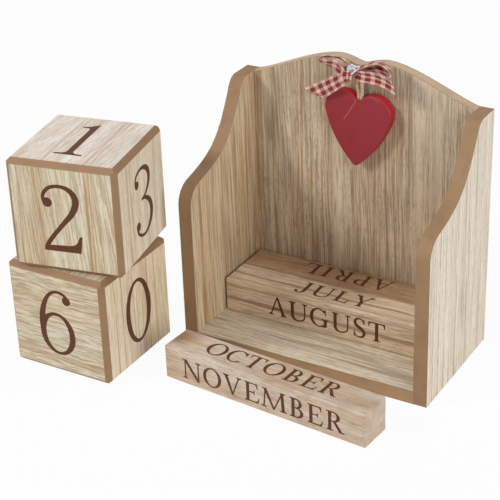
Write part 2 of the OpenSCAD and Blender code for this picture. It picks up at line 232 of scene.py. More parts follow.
def veneer(name, tones, face, seed, along=Z, pith=(-90, 12), taper=0.02, wave=0.6, bands=0.6,
           grey=0.3, ribs=0.4, dash=0.03, lines=0.35, pores=0.3, fibres=0.26, streaks=(),
           centre=(0, 0, 0), turn=0.0):
    """Bands, grey, ribs, lines, pores and fibres are strengths. A streak is place, width, strength."""
    pale, warm, dark = (shade(tone) for tone in tones)
    bright = shade(tones[0], 1.08)
    material, shader, xyz = finish(name, 0.6, centre, turn)
    a, l = xyz[3 - along - face], xyz[along]

    def grain(wire, across, down, shift=0.0, detail=1.0):
        """Noise with so many waves to the millimetre across the grain and down it."""
        return wire.noise(across * wire, down * l, seed + shift, detail)

    aside = a - pith[0]
    sway = 3.0 * (grain(a, 0.04, 0.015) - 0.5) + wave * (grain(a, 0.12, 0.14, 2.3) - 0.5)
    r = (aside * aside + pith[1] ** 2).maths("SQRT") + taper * l + sway
    fine = grain(a, 2.4, 0.17, 9.9, 2.0)
    pore = grain(a, 2.6, 0.26, 17.2).step(0.58, 0.68) * grain(a, 0.10, 0.03, 1.5).step(0.4, 0.6)
    ridge = grain(r, 1.45, dash, 8.3, 0.6)
    edge = abs(grain(r, 0.23, 0.003, 12.4) - 0.5)
    line = edge.fade(0.015, 0.07) * grain(a, 0.15, 0.02, 15.8).step(0.36, 0.60)
    colour = (bands * grain(r, 0.085, 0.008, 3.1).step(0.38, 0.62)).over(pale, warm)
    colour = (grey * grain(r, 0.17, 0.012, 5.7).step(0.42, 0.66)).over(colour, WEATHER_GREY)
    colour = (ribs * ridge.fade(0.34, 0.50)).over(colour, bright)
    for mask, strength in ((ridge.step(0.48, 0.62), ribs), (line, lines),
                           (fine.step(0.45, 0.70), fibres), (pore, pores)):
        colour = (strength * mask).over(colour, dark)
    for place, width, strength in streaks:
        off = abs(a + 0.5 * sway - place)
        patchy = a.noise(0.4 * a, 0.06 * l, place).step(0.25, 0.55)
        streak = abs(strength) * off.fade(0.35 * width, width) * patchy
        colour = streak.over(colour, STREAK_BROWN if strength > 0 else bright)
    outward = Matrix.Rotation(radians(turn), 3, "Z") @ Vector(FACING[face])
    colour = a.facing(outward).step(0.75, 0.9).over(shade(BOARD_TONE), colour)
    feed(shader, colour, 0.54 + 0.14 * fine, fine - 0.6 * pore - 0.5 * line - 0.8 * ridge, 0.09)
    return material

# %% [markdown]
# ## Fibreboard
# Between its veneers a board is pressed wood fibre, which shows on every cut edge and on the
# bevels of the cubes. A router leaves it smooth and a little burnished. Two sizes of speckle
# and a slow blotch in all directions are enough, as fibreboard has no grain.

# %% Fibreboard
def fibreboard(name, tone, seed):
    material, shader, xyz = finish(name, 0.66)
    speck = speckle(xyz, 2.6, seed)
    blotch = speckle(xyz, 0.12, seed, 2.0)
    colour = (0.5 * speck.step(0.52, 0.72)).over(shade(tone), shade(tone, 0.76))
    colour = (0.45 * speck.fade(0.25, 0.45)).over(colour, shade(tone, 1.15))
    colour = (0.5 * blotch.step(0.45, 0.70)).over(colour, shade(tone, 0.88))
    feed(shader, colour, 0.60 + 0.14 * speck, speck, 0.06)
    return material

# %% [markdown]
# ## Solid wood
# The month sticks are sawn from solid wood. Its rings are cylinders round the pith, which lies
# outside the stick, so the distance from it gives wavy streaks on the long faces and curved
# rings on the ends. Fibres and pores are noise, stretched along the stick. Single dark rings
# and brown stains are listed by place.

# %% Solid wood
STAIN_BROWN = rgb(146, 100, 60)


def solid_wood(name, tones, seed, centre, turn=0.0, pith=(-34, -21), streaks=0.3, blotch=0.4,
               ribs=0.3, rings=(), stains=()):
    """A ring is its radius, width and strength, and a stain its place, radius and strength."""
    pale, warm, dark = (shade(tone) for tone in tones)
    material, shader, (x, y, z) = finish(name, 0.62, centre, turn)

    def grain(down, across, shift=0.0, detail=1.0):
        """Noise with so many waves to the millimetre down the stick and across it."""
        return x.noise(down * x, across * y, across * z + (seed + shift), detail)

    sway = 2.5 * (grain(0.02, 0.06, 0.0, 2.0) - 0.5) + 0.5 * (grain(0.16, 0.25) - 0.5)
    far = x.add("CombineXYZ", {1: y - pith[0], 2: z - pith[1]})
    r = x.add("VectorMath", {0: far}, "Value", operation="LENGTH") + sway
    ridge = x.noise(2.0 * r, 0.05 * x, seed + 1.7, 0.6)
    edge = abs(x.noise(0.26 * r, 0.006 * x, seed + 4.1) - 0.5)
    late = edge.fade(0.02, 0.10) * grain(0.03, 0.12, 8.0).step(0.36, 0.60)
    broad = grain(0.022, 0.15, 2.0, 2.0).step(0.38, 0.64)
    fibre = grain(0.12, 1.7, 0.0, 2.0)
    pore = grain(0.28, 2.6).step(0.58, 0.68)
    soft = grain(0.09, 0.12, 5.0, 3.0).step(0.45, 0.70)
    colour = (0.75 * broad).over(pale, warm)
    colour = (ribs * ridge.fade(0.34, 0.50)).over(colour, shade(tones[0], 1.05))
    for mask, strength in ((late, streaks), (ridge.step(0.48, 0.62), ribs),
                           (fibre.step(0.46, 0.68), 0.36), (pore, 0.3), (soft, 0.3 * blotch)):
        colour = (strength * mask).over(colour, dark)
    for radius, width, strength in rings:
        colour = (strength * abs(r - radius).fade(0.3 * width, width)).over(colour, dark)
    point = x.add("CombineXYZ", {0: 0.6 * x, 1: y, 2: z})
    for place, radius, strength in stains:
        off = x.add("VectorMath", {0: point, 1: place}, "Value", operation="DISTANCE")
        stain = strength * off.fade(0.2 * radius, radius) * (0.6 + 0.4 * fibre)
        colour = stain.over(colour, STAIN_BROWN)
    feed(shader, colour, 0.56 + 0.14 * fibre, fibre - 0.5 * pore - 0.6 * ridge, 0.09)
    return material

# %% [markdown]
# ## Dressing the wooden solids
# The wooden solids keep their CAD shape, and each takes its own finish, because no two slices
# of veneer are alike. The grain stands upright on the back, the sides and most cube faces and
# runs across the base. The cubes and the loose stick lie turned, so their patterns start from
# their own centres and turn with them.

# %% Finishes of the stand
BACK_TONES = ((204, 187, 161), (190, 163, 129), (114, 84, 57))
INNER_TONES = ((212, 192, 160), (198, 168, 128), (134, 100, 66))
BASE_TONES = ((220, 210, 190), (202, 182, 152), (134, 104, 74))
# The outer tones are paler than the tones inside the stand: partly the wood, partly painted light, as
# the outer faces stand in full light.
OUTER_TONES_LIT = ((238, 229, 214), (228, 215, 193), (164, 132, 96))
STAND_LOOKS = {
    "back_front": dict(
        tones=BACK_TONES, face=Y, ribs=0.42, fibres=0.36, grey=0.34, lines=0.45, pores=0.5,
        # The wide brown streak at -71 fills the corner by the left side: partly grain, partly painted
        # shade of that corner.
        streaks=((-71, 8, 0.6), (-63, 1.4, 0.6), (-49, 0.8, 0.3), (-42, 3, 0.25), (-37, 1.0, 0.6),
                 (-31, 0.8, 0.8), (-20, 0.9, 0.4), (-14, 5, -0.7), (-4, 2.5, 0.25), (9, 0.7, 0.7),
                 (12, 1.8, 0.4), (24, 0.7, 0.45), (29, 2, 0.3), (38, 8, -0.4), (46, 5, -0.4))),
    "back_rear": dict(tones=OUTER_TONES_LIT, face=Y, pith=(20, 8), taper=0.12),
    "left_side_inner": dict(
        tones=INNER_TONES, face=X, ribs=0.4, lines=0.5,
        streaks=((-30, 2.2, 0.45), (-22, 0.8, 0.5), (-6, 0.6, 0.6), (-1, 0.5, 0.5), (8, 1.2, 0.5),
                 (15, 0.6, 0.6), (21, 0.9, 0.7), (29, 3.5, 0.4))),
    "left_side_outer": dict(tones=OUTER_TONES_LIT, face=X, pith=(-8, 6), taper=0.10),
    "right_side_inner": dict(tones=INNER_TONES, face=X),
    "right_side_outer": dict(
        tones=OUTER_TONES_LIT, face=X, grey=0.2, ribs=0.22, lines=0.35, fibres=0.36,
        streaks=((-33, 0.5, 0.6), (-26.5, 0.5, 0.8), (-19, 0.45, 0.6), (-12, 0.4, 0.5), (-4, 0.5, 0.75),
                 (3, 0.4, 0.5), (10, 0.45, 0.7), (19, 0.45, 0.5), (29, 0.5, 0.6))),
    "base_top": dict(tones=BASE_TONES, along=X, face=Z, grey=0.5, ribs=0.33, lines=0.45, fibres=0.45,
                     streaks=((18, 0.9, 0.4), (8, 0.6, 0.4))),
    "base_under": dict(tones=OUTER_TONES_LIT, along=X, face=Z)}
# The back's core is far paler than the other boards: painted light on its top edge, which faces up to
# the lamps.
CORE_TONES_PARTLY_LIT = {"base_core": (168, 134, 96), "back_core": (202, 175, 145), "left_side_core": BOARD_TONE,
              "right_side_core": (154, 120, 86)}


def dress(node, material):
    for slot in nodes[node].material_slots:
        slot.material = material


for seed, (face, look) in enumerate(STAND_LOOKS.items(), 1):
    dress(face + "_veneer", veneer(face, seed=float(seed), **look))
for seed, (board, tone) in enumerate(CORE_TONES_PARTLY_LIT.items()):
    dress(board, fibreboard(board + "_fibre", tone, 10.0 * seed))
for seed, side in enumerate(("left", "right")):
    dress(side + "_joint_dowels", solid_wood(side + "_dowel_wood", INNER_TONES, 3.0 + seed, (0, 0, 0)))
print("the stand has", len(STAND_LOOKS), "veneers")

# %% Finishes of the cubes
CUBE_TURNS = {"upper_cube": 11.0, "lower_cube": 0.0}
SAND = ((217, 207, 184), (208, 187, 146), (146, 112, 68))
# The three paler tone sets below are lighter copies of SAND for the cubes' side faces and the upper
# top: painted light from the lamps at the side and above.
LIT_CREAM = ((237, 226, 206), (230, 214, 185), (154, 117, 72))
LIT_HONEY = ((230, 217, 193), (223, 202, 167), (154, 116, 70))
LIT_BLUSH = ((246, 239, 232), (242, 229, 214), (192, 156, 118))
CUBE_LOOKS = {
    "upper_cube_front": dict(
        tones=SAND, face=Y, taper=0.08, wave=1.0, dash=0.04, lines=0.25, pores=0.35,
        streaks=((14.5, 1.2, 0.7), (16.5, 0.6, 0.6), (-13, 5, 0.3), (-25, 1.2, 0.4), (-21, 2.5, 0.25))),
    "upper_cube_back": dict(tones=SAND, face=Y, pith=(-13, 4), taper=0.22),
    "upper_cube_left": dict(tones=SAND, face=X, pith=(10, 5), taper=0.15),
    "upper_cube_right": dict(tones=LIT_CREAM, face=X, ribs=0.22, lines=0.22,
                             streaks=((-25, 0.6, 0.4), (-19, 1.5, 0.3), (-14, 0.8, 0.5))),
    "upper_cube_top": dict(
        tones=LIT_BLUSH, along=Y, face=Z, taper=-0.14, wave=1.0, dash=0.06,
        ribs=0.32, lines=0.2, fibres=0.42,
        streaks=((-11, 1.2, 0.35), (-8, 0.6, 0.3), (13, 1.2, 0.4), (16, 0.7, 0.35), (19, 0.5, 0.3))),
    "upper_cube_bottom": dict(tones=SAND, along=X, face=Z),
    "lower_cube_front": dict(
        tones=SAND, along=X, face=Y, wave=2.0, dash=0.08,
        ribs=0.46, lines=0.15, pores=0.35, fibres=0.36,
        streaks=((-22, 2.5, 0.4), (-12, 1.2, 0.25), (4, 2.0, 0.35), (12, 1.0, 0.25))),
    "lower_cube_back": dict(tones=SAND, face=Y, pith=(0, 6), taper=0.2),
    "lower_cube_left": dict(tones=LIT_HONEY, face=X),
    "lower_cube_right": dict(tones=LIT_HONEY, face=X, grey=0.1, ribs=0.25, dash=0.05, lines=0.0, streaks=(
        (-21.5, 0.4, 0.8), (-15, 0.45, 0.8), (-8, 2.5, 0.25), (-4, 0.4, 0.7), (-1, 0.35, 0.6),
        (3.5, 0.4, 0.7), (6, 3, 0.25), (9.5, 0.45, 0.9), (16.5, 0.4, 0.75))),
    "lower_cube_top": dict(tones=SAND, along=Y, face=Z),
    "lower_cube_bottom": dict(tones=SAND, along=X, face=Z)}


def middle(node):
    low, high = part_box(node)
    return (low + high) / 2 / MM


for i, (face, look) in enumerate(CUBE_LOOKS.items()):
    cube = face.rpartition("_")[0]
    stance = dict(centre=middle(cube + "_core"), turn=CUBE_TURNS[cube])
    dress(face + "_veneer", veneer(face, seed=20.0 + 1.7 * i, **stance, **look))
for seed, cube in enumerate(CUBE_TURNS):
    dress(cube + "_core", fibreboard(cube + "_fibre", BOARD_TONE, 60.0 + 9 * seed))
print("the cubes have", len(CUBE_LOOKS), "veneers")

# %% Finishes of the sticks
LOOSE_TURN = -5.0
DEEP_STICK = ((194, 162, 128), (176, 140, 104), (106, 72, 46))
TAN_STICK = ((232, 213, 186), (222, 197, 163), (126, 90, 58))
PALE_STICK = ((215, 201, 184), (205, 178, 147), (138, 107, 80))
STICK_LOOKS = {
    "rear": dict(tones=DEEP_STICK, seed=1.0, ribs=0.22),
    "front": dict(tones=TAN_STICK, seed=6.0, pith=(30, -26), streaks=0.14, blotch=0.2, ribs=0.22,
                  rings=((47.4, 0.8, 0.6), (52.2, 0.5, 0.4))),
    "loose": dict(tones=PALE_STICK, seed=9.0, turn=LOOSE_TURN, pith=(-60, 44), streaks=0.15, blotch=0.7,
                  ribs=0.16, stains=(((-40, 3, 11), 13, 0.8), ((-12, -12, 12), 7, 0.3)))}
for stick, look in STICK_LOOKS.items():
    node = stick + "_month_stick"
    dress(node, solid_wood(stick + "_stick_wood", centre=middle(node), **look))
print(len(bpy.data.materials), "finishes so far")

# %% [markdown]
# ## Drawing serif letters without a font
# Digits and month names are printed in an old-style face: thick uprights, hairline curves and
# small feet. A broad pen draws such letters, so each one is a few pen strokes. A stroke is a
# row of small flat patches, and `flat_shape` joins all patches of a letter where they overlap,
# with a triangulation that knows which patches each triangle lies in.

# %% Pen strokes
PEN_STEPS, RING_STEP, BALL_SIDES = 5, 8, 20
CAPITAL, STEM, HAIRLINE, FOOT_HALF = 100, 15, 4.5, 17


def flow(points, steps):
    """A smooth row of points through the given ones."""
    rows = [Vector(p) for p in points]
    rows = [2 * rows[0] - rows[1], *rows, 2 * rows[-1] - rows[-2]]
    smooth = []
    for p, q, r, s in zip(rows, rows[1:], rows[2:], rows[3:]):
        for t in (i / steps for i in range(steps)):
            smooth.append((2 * q + (r - p) * t + (2 * p - 5 * q + 4 * r - s) * t * t
                           + (3 * q - p - 3 * r + s) * t ** 3) / 2)
    return smooth + [rows[-2]]


def headings(row):
    """The direction in which a row of points runs at each of them."""
    return [b - a for a, b in zip(row[:1] + row, row[1:] + row[-1:])]


def patches(pairs):
    return [[a, b, d, c] for (a, b), (c, d) in zip(pairs, pairs[1:])]


def pen(*points):
    """A curved stroke through points of x, y and width."""
    row, pairs = flow(points, PEN_STEPS), []
    for p, way in zip(row, headings(row)):
        ahead = way.xy.normalized()
        out = Vector((-ahead.y, ahead.x)) * p.z / 2
        pairs.append((p.xy + out, p.xy - out))
    return patches(pairs)


def ring(x, y, a, b, side, cap, start=0, end=360):
    """An oval stroke, thick at its sides and thin at its top and bottom."""
    count = round((end - start) / RING_STEP)
    pairs = []
    for i in range(count + 1):
        angle = radians(start + (end - start) * i / count)
        c, s = cos(angle), sin(angle)
        pairs.append((Vector((x + a * c, y + b * s)), Vector((x + (a - side) * c, y + (b - cap) * s))))
    return patches(pairs)


def slab(*points):
    return [[Vector(p) for p in points]]


def slant(x0, y0, x1, y1, low, high=None):
    """A straight stroke with level ends, low wide at its first end and high wide at the other."""
    high = low if high is None else high
    return slab((x0 - low / 2, y0), (x0 + low / 2, y0), (x1 + high / 2, y1), (x1 - high / 2, y1))


def hair(x0, x1, y, thick=HAIRLINE):
    return slab((x0, y - thick / 2), (x1, y - thick / 2), (x1, y + thick / 2), (x0, y + thick / 2))


def ball(x, y, r):
    turns = (tau * i / BALL_SIDES for i in range(BALL_SIDES))
    return slab(*((x + r * cos(t), y + r * sin(t)) for t in turns))


def foot(x, y, half, thick, up=1, edge=3.2, rise=9.0):
    """A serif at the end of an upright, with a small rounded bracket on either side."""
    k = thick / 2
    half_foot = [(half, 0), (half, edge), (k + 2, edge * 1.6), (k, rise)]
    return slab(*((x - px, y + up * py) for px, py in half_foot),
                *((x + px, y + up * py) for px, py in reversed(half_foot)))

# %% [markdown]
# ## The alphabet
# Each letter is a width and its strokes, in hundredths of the height of a capital. Only the
# letters that the months need are drawn.

# %% Letters
def upright(x, feet=(True, True), low=0, high=CAPITAL):
    bottom, top = foot(x, low, FOOT_HALF, STEM), foot(x, high, FOOT_HALF, STEM, -1)
    return slant(x, low, x, high, STEM) + bottom * feet[0] + top * feet[1]


def bowl(x, y, a, b, side=STEM):
    """The round part of a B, D, P or R, with the hairlines that join it to the upright."""
    rise = b - HAIRLINE / 2
    return ring(x, y, a, b, side, HAIRLINE, -90, 90) + hair(24, x, y + rise) + hair(24, x, y - rise)


TOP_ARM = hair(24, 76, 97.75) + slab((64, 97), (77, 100), (78.5, 75), (76, 75), (73, 88))
MID_ARM = hair(24, 60, 51) + slab((54, 52), (57.5, 57), (58, 63), (60.5, 63), (60.5, 39), (58, 39),
                                  (57.5, 45), (54, 50))
LOW_ARM = hair(24, 80, 2.25) + slab((66, 3), (80, 0), (87, 26), (84.5, 26), (78, 11))
BEAK = slab((78, 92), (84, 97), (87, 100), (88, 68), (85.5, 68), (82, 82))
LETTERS = {
    "A": (98, slant(13, 0, 47.5, 100, 5.5) + slant(83, 0, 49, 101, 17, 9) + hair(24, 74, 34)
        + foot(13, 0, 13, 5.5) + foot(83, 0, 16, 17)),
    "B": (84, upright(24) + bowl(38, 74.3, 32, 25.7, 14) + bowl(41, 26.4, 37, 26.4)),
    "C": (92, ring(50, 50, 49, 51.5, 15.5, 4.5, 42, 318) + BEAK),
    "D": (104, upright(24) + bowl(46, 50, 52, 50)),
    "E": (88, upright(24) + TOP_ARM + MID_ARM + LOW_ARM),
    "F": (80, upright(24) + TOP_ARM + MID_ARM),
    "G": (103, ring(50, 50, 49, 51.5, 15.5, 4.5, 42, 305) + BEAK + slant(84, 3, 84, 42, 15)
        + foot(84, 44, 18, 15, -1) + pen((70, 1, 4.5), (77, 3, 5), (82, 8, 8))),
    "H": (110, upright(24) + upright(86) + hair(24, 86, 51)),
    "I": (48, upright(24)),
    "J": (70, upright(48, (False, True), 24) + ball(10, 6, 8) + pen((48, 27, 15), (47, 12, 13.5),
        (40, 0, 9), (29, -6, 6), (17, -5.5, 5.5), (8, 1, 5))),
    "L": (84, upright(24) + hair(24, 74, 2.25) + slab((62, 3), (76, 0), (83, 28), (80.5, 28),
        (74, 12))),
    "M": (138, slant(14, 0, 22, 100, 5.5) + slant(69, -1, 20, 100, 9, 17) + slant(68, -1, 114, 100, 5.5)
        + slant(120, 0, 113, 100, 15) + foot(14, 0, 14, 5.5) + foot(120, 0, 17, 15)
        + hair(5, 24, 98.2, 3.6) + hair(111, 132, 98.2, 3.6)),
    "N": (110, slant(18, 0, 18, 98, 5.5) + slant(93, -2, 19, 100, 14, 17) + slant(93, -2, 93, 100, 5.5)
        + foot(18, 0, 14, 5.5) + foot(93, 100, 14, 5.5, -1) + hair(2, 23, 98.2, 3.6)),
    "O": (104, ring(52, 50, 51, 51.5, 15.5, 4.5)),
    "P": (82, upright(24) + bowl(42, 72, 36, 28)),
    "R": (98, upright(24) + bowl(42, 74, 34, 26) + slant(84, 0, 47, 50, 19, 14) + slab((76, 0),
        (100, 0), (100, 3), (88, 5.5))),
    "S": (68, pen((57, 80, 3.5), (50, 94, 5), (35, 100.5, 6), (17, 95, 9), (10, 79, 13), (17, 63, 15),
        (34, 52, 16), (52, 39, 15), (59, 23, 13), (52, 7, 9), (35, -0.5, 6), (17, 4, 4.5), (8, 19, 3.5))
        + slab((55, 100), (58, 100), (60, 73), (57, 73)) + slab((8, 0), (5, 0), (3.5, 29), (6.5, 29))),
    "T": (92, upright(46, (True, False)) + hair(6, 86, 97.75) + slab((3, 100), (20, 97), (9, 91),
        (6, 76), (2.5, 76)) + slab((89, 100), (72, 97), (83, 91), (86, 76), (89.5, 76))),
    "U": (110, upright(24, (False, True), 29) + slant(92, 29, 92, 100, 5.5) + foot(92, 100, 14, 5.5, -1)
        + pen((24, 31, 15), (25.5, 18, 14), (33, 7, 10.5), (45, 1.2, 6.8), (58, 0.6, 5.4), (72, 3.5, 5),
        (84, 11.5, 5), (90.6, 21, 5.2), (92, 31, 5.5))),
    "V": (104, slant(53, -1, 17, 100, 9, 17) + slant(52, -1, 90, 100, 5.5) + foot(17, 100, 16, 17, -1)
        + foot(90, 100, 13, 5.5, -1)),
    "Y": (96, slant(48, 42, 17, 100, 14, 17) + slant(50, 44, 83, 100, 5.5) + upright(48, (True, False),
        0, 46) + foot(17, 100, 15, 17, -1) + foot(83, 100, 12, 5.5, -1))}

# %% [markdown]
# ## The digits
# The digits on the cubes are 39 mm high, so they are drawn straight in millimetres from the
# middle of a face. Ball ends, hairline turns and swelling sides follow the same broad pen.

# %% Digits
def digit_foot(x, half, thick):
    return foot(x, -19, half, thick, 1, 0.8, 3.2)


DIGITS = {
    "0": ring(-0.2, 0.5, 11.7, 19.4, 3.4, 1.3),
    "1": slant(-1, -18.5, -1, 19, 3.1) + digit_foot(-1, 7.8, 3.1) + slab((-7.5, 16.7), (-4.6, 17.3),
        (-2.2, 18.5), (0.3, 20.6), (0.55, 20.4), (0.55, 13), (-2.55, 13), (-2.9, 15.2), (-4.4, 16.1),
        (-7.5, 15.9)),
    "2": ball(-8.7, 9.4, 2.5) + pen((-10.5, 8.6, 0.9), (-11, 12, 1.3), (-9.7, 15.4, 1.5),
        (-6.5, 18.2, 1.5), (-1.5, 19.3, 1.4), (3.2, 18.4, 2.0), (6.6, 15.6, 2.9), (7.9, 11.8, 3.3),
        (7.0, 7.6, 3.1), (4.6, 3.2, 2.6), (1, -1, 2.1), (-4, -6.9, 1.8), (-8.5, -12.6, 1.9),
        (-11.2, -17, 2.0)) + slab((-12.4, -19), (-12.3, -17.4), (-10.4, -16.3), (-4, -15.8), (3, -15.4),
        (5.6, -14.6), (7.4, -12.8), (8.7, -9.5), (9.8, -9.3), (8.4, -18.7)),
    "3": ball(-6.9, 12.3, 2.1) + pen((-8.7, 12, 0.8), (-8.6, 15, 1.2), (-6.2, 18, 1.2), (-1, 19.4, 1.2),
        (4, 18.6, 2.0), (8, 15.8, 2.8), (9.3, 12.2, 2.9), (8.4, 8.2, 2.5), (5.6, 4.6, 1.6),
        (2.2, 2.6, 1.1), (-1.5, 1.8, 0.9)) + pen((-1.5, 1.9, 0.9), (2.2, 1.5, 1.4), (6.2, -0.7, 2.1),
        (9.4, -4.2, 3.0), (10.4, -9, 3.4), (8.9, -13.8, 2.9), (5.2, -17.5, 1.9), (0.5, -19.2, 1.2),
        (-4.6, -18.3, 1.1), (-8.5, -15.4, 1.2), (-9.9, -12, 0.9)) + ball(-8.0, -11.8, 2.4),
    "4": slab((2.6, 19.8), (3.6, 19.8), (-10.2, -8), (-12.6, -8)) + slant(4.4, -18.5, 4.4, 19.8, 3.3)
        + hair(-12.6, 11.6, -8.7, 1.5) + digit_foot(4.4, 6.4, 3.3),
    "5": slab((-7.6, 19), (-6.4, 18), (4, 17.8), (7.2, 18.6), (8.9, 20.2), (8.2, 15.6), (6, 14.4),
        (-6.6, 14.4), (-7.6, 3), (-8.6, 3)) + ball(-8.3, -12.8, 2.3) + pen((-8.4, 3, 0.9),
        (-4.6, 5.3, 1.2), (0.5, 5.9, 1.6), (5.8, 4, 2.4), (9, -0.2, 3.1), (9.9, -6, 3.4),
        (8.5, -12, 3.0), (4.8, -16.9, 2.0), (-0.5, -19.1, 1.2), (-5.8, -18.2, 1.1), (-9.2, -15.4, 1.2),
        (-10.3, -12.6, 0.9)),
    "6": ring(-0.4, -6.6, 11.4, 13, 3.2, 1.2) + ball(7.3, 15.6, 2.4) + pen((-10.2, -7, 3.0),
        (-10.3, -1, 3.2), (-9.5, 5.5, 3.0), (-7.6, 11.6, 2.3), (-4.8, 16.4, 1.6), (-1.4, 19.2, 1.2),
        (2.6, 20.0, 1.2), (6.6, 18.6, 1.3), (9.1, 15.6, 0.9)),
    "7": slab((-11, 20), (-9.6, 18.9), (11, 19.5), (11, 18.2), (9.6, 15.4), (-7, 15.6), (-9.4, 14),
        (-10.6, 10.6), (-11.4, 10.6)) + pen((10, 17.4, 1.2), (6.2, 10, 1.7), (2, 2, 2.4),
        (-0.6, -6, 3.2), (-1.6, -13, 3.8), (-2, -19, 4.0)),
    "8": ring(0.2, 10.6, 8.6, 9.2, 2.7, 1.2) + ring(0, -8.7, 11.1, 10.6, 3.2, 1.2)}
print(len(LETTERS), "letters and", len(DIGITS), "digits drawn")

# %% [markdown]
# ## Printing on a face
# The joined shape of a letter is given a thickness and laid on its face, two hundredths of a
# millimetre proud of the wood, so that print and wood never fight for the same plane. Ink creeps
# into wood, so each stroke is first swelled a little on all sides. All the print of a cube or a
# stick is one piece, which rides on that body.

# %% Joining the strokes
TRIANGLES_INSIDE, SAME_POINT, SHARPEST = 1, 1e-5, 0.6


def swell(piece, by):
    """Moves every side of a patch outwards, as ink creeps a little into the wood round a stroke."""
    ahead = [(b - a).normalized() for a, b in zip(piece, piece[1:] + piece[:1])]
    sides = [Vector((d.y, -d.x)) for d in ahead]
    corners = zip(piece, sides[-1:] + sides[:-1], sides)
    return [p + by * (m + n) / max(SHARPEST, 1 + m.dot(n)) for p, m, n in corners]


def flat_shape(pieces, spread):
    """The triangles that the overlapping pieces cover together, each covered once."""
    points, faces = [], []
    for piece in pieces:
        area = sum(a.x * b.y - b.x * a.y for a, b in zip(piece, piece[1:] + piece[:1]))
        faces.append(list(range(len(points), len(points) + len(piece))))
        points += swell(piece if area > 0 else piece[::-1], spread)
    result = delaunay_2d_cdt(points, [], faces, TRIANGLES_INSIDE, SAME_POINT)
    spots, triangles, sources = result[0], result[2], result[5]
    return spots, [t for t, source in zip(triangles, sources) if source]

# %% Print
INK_PROUD, INK_DEEP = 0.02, 0.06
DIGIT_SWELL, LETTER_SWELL = 0.32, 1.2
INK, INK_WORN = rgb(86, 50, 31), rgb(124, 82, 55)


def thicken(bm, faces, way):
    """Extrudes faces, keeps the old ones as the far side, and returns the new corners."""
    grown = bmesh.ops.extrude_face_region(bm, geom=faces, use_keep_orig=True)["geom"]
    corners = [part for part in grown if isinstance(part, bmesh.types.BMVert)]
    bmesh.ops.translate(bm, verts=corners, vec=way)
    return corners


def add_print(bm, pieces, spread, scale, place):
    """Adds a flat shape as a thin closed slab. Place takes x, y on the face to the frame."""
    spots, triangles = flat_shape(pieces, spread)
    corners = [bm.verts.new(place @ Vector((p.x * scale, p.y * scale, 0))) for p in spots]
    faces = [bm.faces.new([corners[i] for i in t]) for t in triangles]
    for spare in [v for v in corners if not v.link_faces]:
        bm.verts.remove(spare)
    normal = (place.to_3x3() @ Vector((0, 0, 1))).normalized()
    lid = thicken(bm, faces, normal * (INK_PROUD + INK_DEEP) * MM)
    base = {v for f in faces for v in f.verts}
    bmesh.ops.translate(bm, verts=[*base, *lid], vec=-normal * INK_DEEP * MM)


def face_place(centre, right, up, out, dx=0, dy=0, turn=0.0):
    """The matrix from x, y in millimetres on a face to the frame in metres."""
    normal = Vector(right).cross(Vector(up))
    axes = Matrix((right, up, normal)).transposed()
    spin = Matrix.Rotation(radians(turn), 3, "Z")
    spot = Vector(centre) + spin @ (normal * out + Vector(right) * dx + Vector(up) * dy)
    return Matrix.Translation(spot * MM) @ (spin @ axes).to_4x4() @ Matrix.Scale(MM, 4)


def new_piece(name, bm, material, body, smooth=False):
    """Turns a bmesh into an object that rides on a body."""
    bmesh.ops.recalc_face_normals(bm, faces=bm.faces)
    mesh = bpy.data.meshes.new(name)
    open_edges = sum(not e.is_manifold for e in bm.edges)
    bm.to_mesh(mesh)
    bm.free()
    mesh.materials.append(material)
    mesh.shade_smooth() if smooth else mesh.shade_flat()
    piece = add_object(name, mesh)
    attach(piece, body)
    print(f"{name}: {len(mesh.polygons)} faces, {open_edges} open edges")
    return piece


ink, ink_shader, xyz = finish("print_ink", 0.55)
worn = speckle(xyz, 1.9)
feed(ink_shader, (0.6 * worn.step(0.45, 0.72)).over(INK, INK_WORN), 0.5 + 0.2 * worn)
ink_shader.inputs["Specular IOR Level"].default_value = 0.2

# %% [markdown]
# A face needs its direction for rightwards and for upwards. On a cube every digit stands
# upright, as on a die. On a stick the four words are upright in turn as the stick is rolled,
# so their upward direction goes round: up, back, down, forward.

# %% Print on the cubes
WAYS = {"front": ((1, 0, 0), (0, 0, 1)), "back": ((-1, 0, 0), (0, 0, 1)),
        "right": ((0, 1, 0), (0, 0, 1)), "left": ((0, -1, 0), (0, 0, 1)),
        "top": ((1, 0, 0), (0, 1, 0)), "bottom": ((1, 0, 0), (0, -1, 0))}
CUBE_DIGITS = {
    "upper_cube": {"top": "1", "front": "2", "right": "3", "left": "0", "back": "4", "bottom": "5"},
    "lower_cube": {"top": "1", "front": "6", "right": "0", "left": "7", "back": "8", "bottom": "2"}}
CUBE_SIDE = (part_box("lower_cube_right_veneer")[1].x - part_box("lower_cube_left_veneer")[0].x) / MM

for cube, digits in CUBE_DIGITS.items():
    bm = bmesh.new()
    for face, digit in digits.items():
        centre = middle(cube + "_core")
        place = face_place(centre, *WAYS[face], CUBE_SIDE / 2, turn=CUBE_TURNS[cube])
        add_print(bm, DIGITS[digit], DIGIT_SWELL, 1.0, place)
    new_piece(cube + "_digits", bm, ink, cube)

# %% Print on the sticks
CAP_HEIGHT = 11.6
STICK_SIDE = (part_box("front_month_stick")[1].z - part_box("front_month_stick")[0].z) / MM
ROLL_WAYS = {**WAYS, "back": ((1, 0, 0), (0, 0, -1))}
